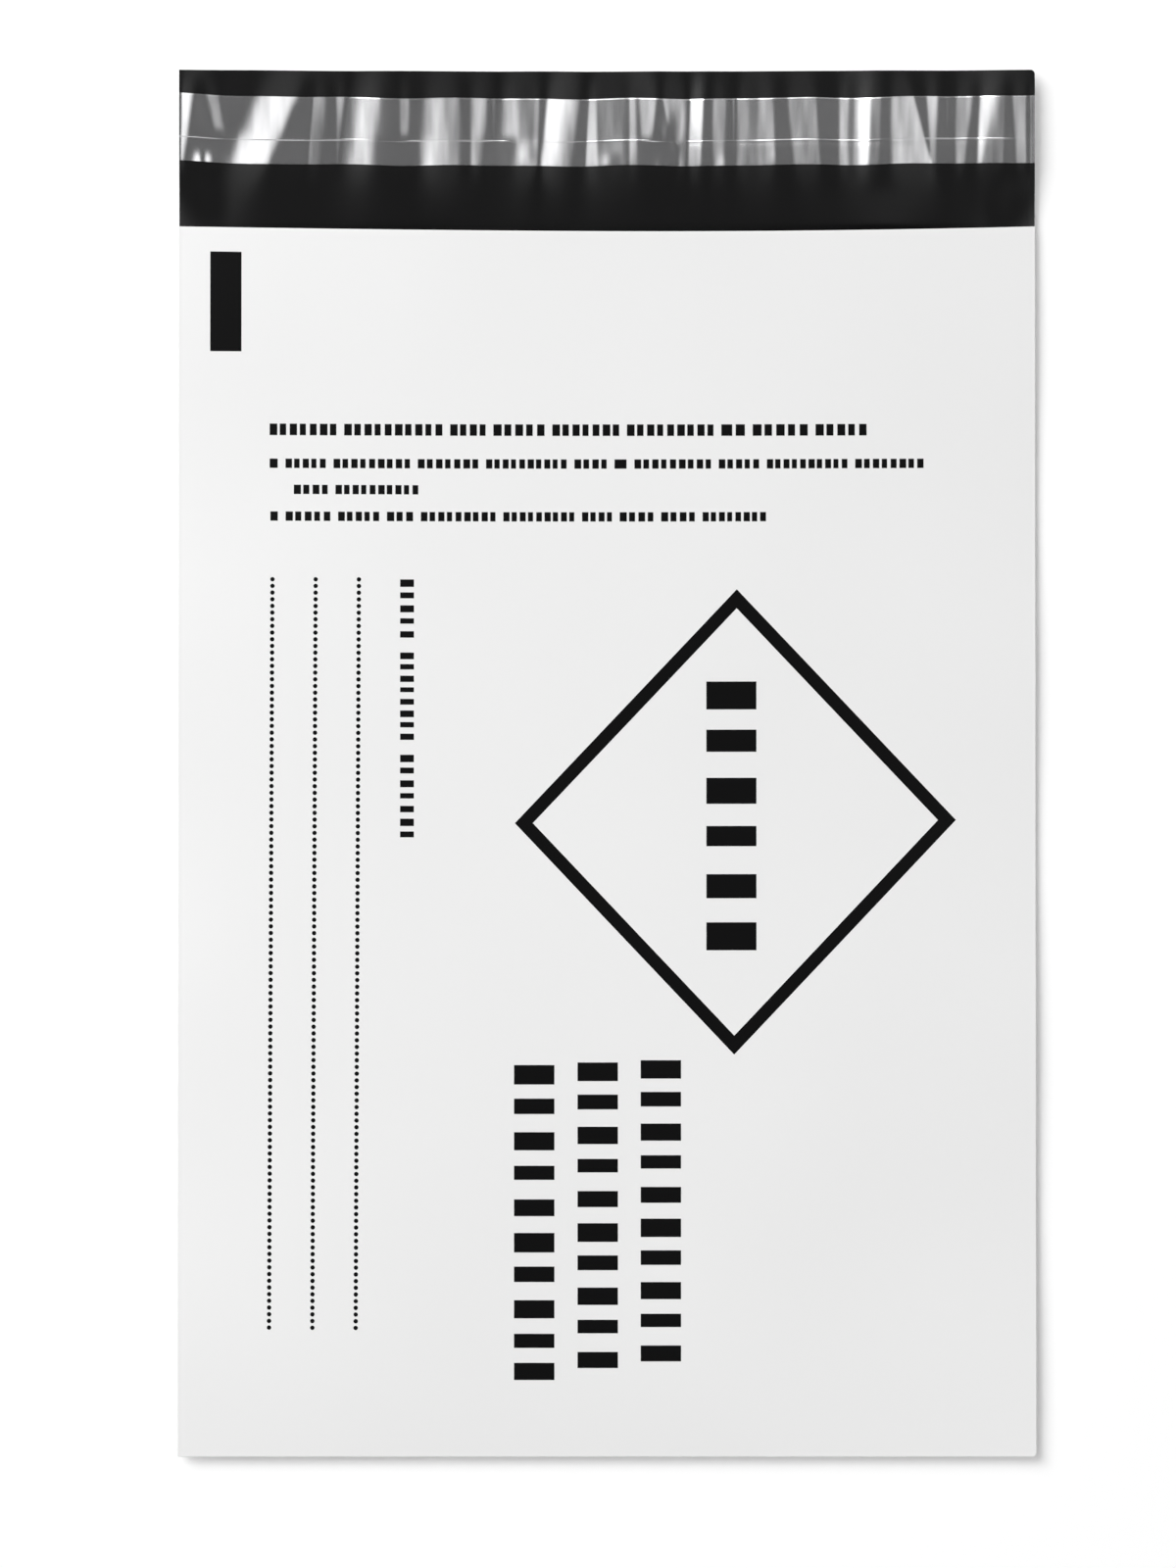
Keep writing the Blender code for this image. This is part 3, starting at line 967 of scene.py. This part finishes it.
class BAG_OT_dots(bpy.types.Operator):
    """Three dotted writing lines"""

    bl_idname = "bag.dots"
    bl_label = "Dotted lines"

    def execute(self, context):
        sizes = context.scene.bag_sizes
        ink = bpy.data.materials["ink"]
        tree = dot_tree(ink)
        values = {
            "Film": bpy.data.objects["pouch_film"],
            "Lines": sizes.dotted_lines,
            "Dots": sizes.dots_in_line,
            "Line spacing": sizes.line_spacing,
            "Pitch": sizes.dot_pitch,
            "Diameter": sizes.dot_diameter,
            "Thickness": DOT_THICKNESS,
            "Middle": DOTS_MIDDLE,
            "Turn": (0.0, 0.0, DOTS_TURN),
        }
        dots = new_piece("dotted_lines", bpy.data.meshes.new("dotted_lines"), ())
        modifier = dots.modifiers.new("dots", "NODES")
        modifier.node_group = tree
        for item in tree.interface.items_tree:
            if item.in_out == "INPUT":
                modifier[item.identifier] = values[item.name]
        context.view_layer.update()
        plain(dots)
        if not dots.data.polygons:
            raise RuntimeError("the dotted lines came out empty")
        finished(dots, "ink")
        return {"FINISHED"}


# Studio: a soft key from the upper left, and a bright frame round a dark middle overhead. The frame is
# given in shares of the sky's disc, as the sideways part of a direction
KEY_PLACE = (-2.75, 2.35, 4.10)
KEY_SIDE = 3.85
KEY_RADIANCE = 4.75
FRAME_RADIANCE = 2.5
FRAME_SIDES = (0.10, 0.34)
FRAME_ENDS = (0.34, 0.52)
FRAME_RIM = (0.42, 0.60)
MIDDLE_RADIANCE = 0.05
LOW_RADIANCE = 0.14
HORIZON_RADIANCE = 1.0
HORIZON_HEIGHTS = (0.08, 0.16)
FLOOR_HALF = 15.0
FLOOR_LIFT = 0.10
CAMERA_TILT = math.radians(1.57)
CAMERA_AIM = (-5.10 * MM, -5.8 * MM, 3 * MM)


def key_softbox():
    """A square area light that faces the bag and isn't seen by the camera."""
    light = bpy.data.lights.new("key_softbox", "AREA")
    light.size = KEY_SIDE
    light.energy = KEY_RADIANCE * math.pi * KEY_SIDE ** 2
    lamp = bpy.data.objects.new("key_softbox", light)
    lamp.location = KEY_PLACE
    lamp.rotation_mode = "QUATERNION"
    lamp.rotation_quaternion = Vector(KEY_PLACE).to_track_quat("Z", "Y")
    lamp.visible_camera = False
    bpy.context.scene.collection.objects.link(lamp)


def overhead_world():
    """The world: pale at the horizon, dim above it, a bright frame overhead and a dark middle."""
    world = bpy.data.worlds.new("studio")
    world.use_nodes = True
    nodes, links = world.node_tree.nodes, world.node_tree.links

    def maths(operation, first, second=None):
        node = nodes.new("ShaderNodeMath")
        node.operation = operation
        for socket, value in zip(node.inputs, (first, second)):
            if isinstance(value, bpy.types.NodeSocket):
                links.new(value, socket)
            elif value is not None:
                socket.default_value = value
        return node.outputs[0]

    def ramp(value, limits, low=0.0, high=1.0):
        node = nodes.new("ShaderNodeMapRange")
        node.interpolation_type = "SMOOTHSTEP"
        node.inputs["From Min"].default_value, node.inputs["From Max"].default_value = limits
        for socket, level in ((node.inputs["To Min"], low), (node.inputs["To Max"], high)):
            if isinstance(level, bpy.types.NodeSocket):
                links.new(level, socket)
            else:
                socket.default_value = level
        links.new(value, node.inputs["Value"])
        return node.outputs["Result"]

    coordinates = nodes.new("ShaderNodeTexCoord")
    split = nodes.new("ShaderNodeSeparateXYZ")
    links.new(coordinates.outputs["Generated"], split.inputs[0])
    x, y, z = split.outputs
    sides = ramp(maths("ABSOLUTE", x), FRAME_SIDES)
    ends = ramp(maths("ABSOLUTE", y), FRAME_ENDS)
    frame_light = maths("MULTIPLY", maths("MAXIMUM", sides, ends), FRAME_RADIANCE)
    inner = maths("ADD", frame_light, MIDDLE_RADIANCE)
    off_zenith = maths("SQRT", maths("ADD", maths("MULTIPLY", x, x), maths("MULTIPLY", y, y)))
    outer = ramp(off_zenith, FRAME_RIM, inner, LOW_RADIANCE)
    sky = ramp(z, HORIZON_HEIGHTS, HORIZON_RADIANCE, outer)
    links.new(sky, nodes["Background"].inputs["Strength"])
    nodes["Background"].inputs["Color"].default_value = (1, 1, 1, 1)
    return world


def floor_paper(colour):
    """Matt paper that is lifted a little where it is seen, without lighting the bag any more."""
    paper = bpy.data.materials.new("floor")
    paper.use_nodes = True
    nodes, links = paper.node_tree.nodes, paper.node_tree.links
    shader = nodes["Principled BSDF"]
    shader.inputs["Base Color"].default_value = colour
    shader.inputs["Roughness"].default_value = 1.0
    shader.inputs["Specular IOR Level"].default_value = 0.0
    shader.inputs["Emission Color"].default_value = (1, 1, 1, 1)
    path = nodes.new("ShaderNodeLightPath")
    seen = nodes.new("ShaderNodeMath")
    seen.operation = "MAXIMUM"
    links.new(path.outputs["Is Camera Ray"], seen.inputs[0])
    links.new(path.outputs["Is Glossy Ray"], seen.inputs[1])
    seen_or_through = nodes.new("ShaderNodeMath")
    seen_or_through.operation = "MAXIMUM"
    links.new(seen.outputs[0], seen_or_through.inputs[0])
    links.new(path.outputs["Is Transmission Ray"], seen_or_through.inputs[1])
    lift = nodes.new("ShaderNodeMath")
    lift.operation = "MULTIPLY"
    lift.inputs[1].default_value = FLOOR_LIFT
    links.new(seen_or_through.outputs[0], lift.inputs[0])
    links.new(lift.outputs[0], shader.inputs["Emission Strength"])
    return paper


def floor_sheet(colour):
    """The studio's wide, flat floor."""
    shape = bmesh.new()
    bmesh.ops.create_grid(shape, x_segments=1, y_segments=1, size=FLOOR_HALF)
    mesh = bpy.data.meshes.new("floor")
    shape.to_mesh(mesh)
    shape.free()
    return new_piece("floor", mesh, (floor_paper(colour),))


def studio_camera(distance, view_height):
    """A camera that looks almost straight down, and whose picture is as high as the given length."""
    camera = bpy.data.objects.new("camera", bpy.data.cameras.new("camera"))
    bpy.context.scene.collection.objects.link(camera)
    back = Vector((0, -math.sin(CAMERA_TILT), math.cos(CAMERA_TILT)))
    camera.location = Vector(CAMERA_AIM) + back * distance
    camera.rotation_mode = "QUATERNION"
    camera.rotation_quaternion = (-back).to_track_quat("-Z", "Y")
    camera.data.lens = camera.data.sensor_width * distance / view_height
    camera.data.clip_end = 100
    return camera


class BAG_OT_stage(bpy.types.Operator):
    """Pale floor, soft lights, world and camera"""

    bl_idname = "bag.stage"
    bl_label = "Studio"

    def execute(self, context):
        scene = context.scene
        sizes = scene.bag_sizes
        floor_sheet(scene.bag_colours.floor)
        key_softbox()
        scene.world = overhead_world()
        scene.camera = studio_camera(sizes.camera_height, sizes.view_height)
        scene.view_settings.view_transform = "Standard"
        return {"FINISHED"}


STEPS = (
    BAG_OT_pouch, BAG_OT_welds, BAG_OT_adhesive, BAG_OT_liner, BAG_OT_print, BAG_OT_dots, BAG_OT_stage
)


class BAG_PT_panel(bpy.types.Panel):
    """The bag's sizes, colours and steps"""

    bl_label = "Specimen transport bag"
    bl_space_type = "VIEW_3D"
    bl_region_type = "UI"
    bl_category = "Bag"

    def draw(self, context):
        for group in (context.scene.bag_sizes, context.scene.bag_colours):
            column = self.layout.column()
            for name in group.__annotations__:
                column.prop(group, name)
        for step in STEPS:
            self.layout.operator(step.bl_idname)


CLASSES = (BagSizes, BagColours, *STEPS, BAG_PT_panel)


def register():
    for item in CLASSES:
        bpy.utils.register_class(item)
    bpy.types.Scene.bag_sizes = PointerProperty(type=BagSizes)
    bpy.types.Scene.bag_colours = PointerProperty(type=BagColours)


def unregister():
    del bpy.types.Scene.bag_colours
    del bpy.types.Scene.bag_sizes
    for item in reversed(CLASSES):
        bpy.utils.unregister_class(item)


def main():
    register()
    for step in STEPS:
        group, name = step.bl_idname.split(".")
        getattr(getattr(bpy.ops, group), name)()


if __name__ == "__main__":
    main()
